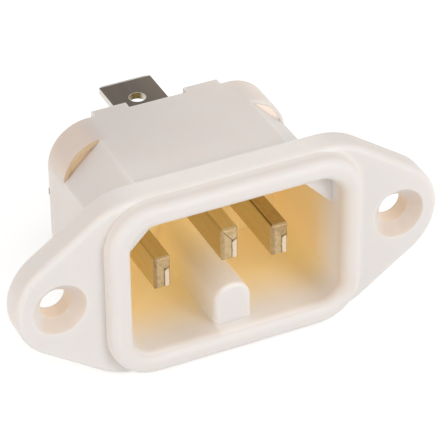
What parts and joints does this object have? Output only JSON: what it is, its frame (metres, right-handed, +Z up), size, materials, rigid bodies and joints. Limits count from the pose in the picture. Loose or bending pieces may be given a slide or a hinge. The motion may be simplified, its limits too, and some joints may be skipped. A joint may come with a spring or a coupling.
{
  "type": "appliance inlet connector",
  "caption": "Panel-mount appliance inlet: a screw flange with a rimmed keyed socket, flat contact pins inside and quick-connect tabs behind.",
  "frame": {"origin": "centre of the flange's rear face, on the line between the two screw holes, where the panel's front surface lies", "axes": "+X along the two screw holes, +Y through the panel from the mouth to the tabs, +Z up towards the cut corners of the mouth"},
  "size_m": [0.0496, 0.0309, 0.0222],
  "materials": {
    "housing": "natural cream thermoplastic, satin and a little translucent",
    "pins": "drawn brass, sheared and bevelled at the tip",
    "tabs": "tin-plated brass strip"
  },
  "bodies": {
    "root": {"inlet_housing": "housing", "line_pin": "pins", "neutral_pin": "pins", "earth_pin": "pins", "line_tab": "tabs", "neutral_tab": "tabs", "earth_tab": "tabs"}
  },
  "joints": []
}
